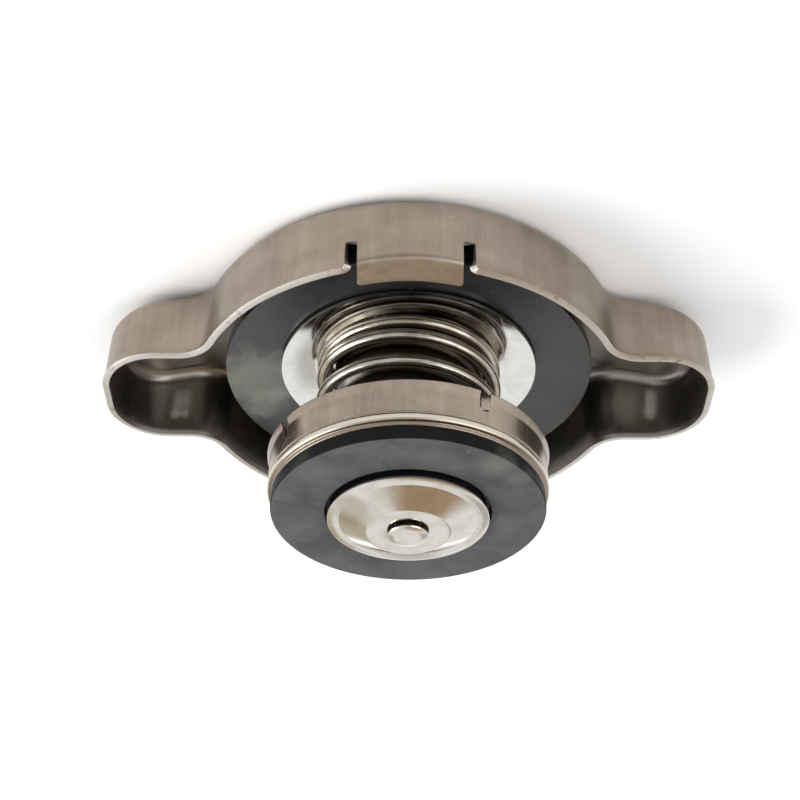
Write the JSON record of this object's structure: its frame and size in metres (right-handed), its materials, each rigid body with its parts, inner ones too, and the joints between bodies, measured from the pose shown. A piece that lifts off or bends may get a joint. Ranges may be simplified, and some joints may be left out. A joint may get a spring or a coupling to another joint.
{
  "type": "radiator cap",
  "caption": "Round sheet-metal radiator cap with two hollow ears, bent-in retention tabs and a sprung pressure and vacuum valve.",
  "frame": {"origin": "centre of the crown's flat outer face, on which the cap lies", "axes": "+Z from the crown to the valve along the cap's axis, +X through an ear, the tabs at +Y and -Y"},
  "size_m": [0.0644, 0.045, 0.0261],
  "materials": {
    "shell_steel": "brushed, lightly scratched",
    "drum_steel": "brushed along the axis",
    "dish_steel": "polished",
    "spring_steel": "drawn wire",
    "bright_plating": "bright plated",
    "gasket_rubber": "matte, used",
    "seal_rubber": "matte, used"
  },
  "bodies": {
    "cap": {"cap_shell": "shell_steel", "centre_rivet": "shell_steel"},
    "stack": {"diaphragm_spring": "spring_steel", "cover_gasket": "gasket_rubber", "spring_seat": "bright_plating", "bell": "bright_plating", "rivet_washer": "shell_steel", "main_spring": "spring_steel"},
    "pressure_valve": {"valve_drum": "drum_steel", "valve_sleeve": "drum_steel", "valve_plate": "drum_steel", "main_seal": "seal_rubber", "vacuum_spring": "spring_steel"},
    "vacuum_valve": {"vacuum_dish": "dish_steel", "vacuum_stem": "dish_steel", "stem_keeper": "dish_steel"}
  },
  "joints": [
    {"name": "stack_spin", "type": "hinge", "parent": "cap", "child": "stack", "pos_m": [0, 0, 0], "axis": [0, 0, 1], "continuous": true},
    {"name": "pressure_lift", "type": "slide", "parent": "stack", "child": "pressure_valve", "axis": [0, 0, -1], "range_m": [0, 0.005], "stiffness_N_per_m": 7000, "deforming": ["main_spring"]},
    {"name": "vacuum_open", "type": "slide", "parent": "pressure_valve", "child": "vacuum_valve", "axis": [0, 0, 1], "range_m": [0, 0.0015], "stiffness_N_per_m": 60, "deforming": ["vacuum_spring"]}
  ]
}
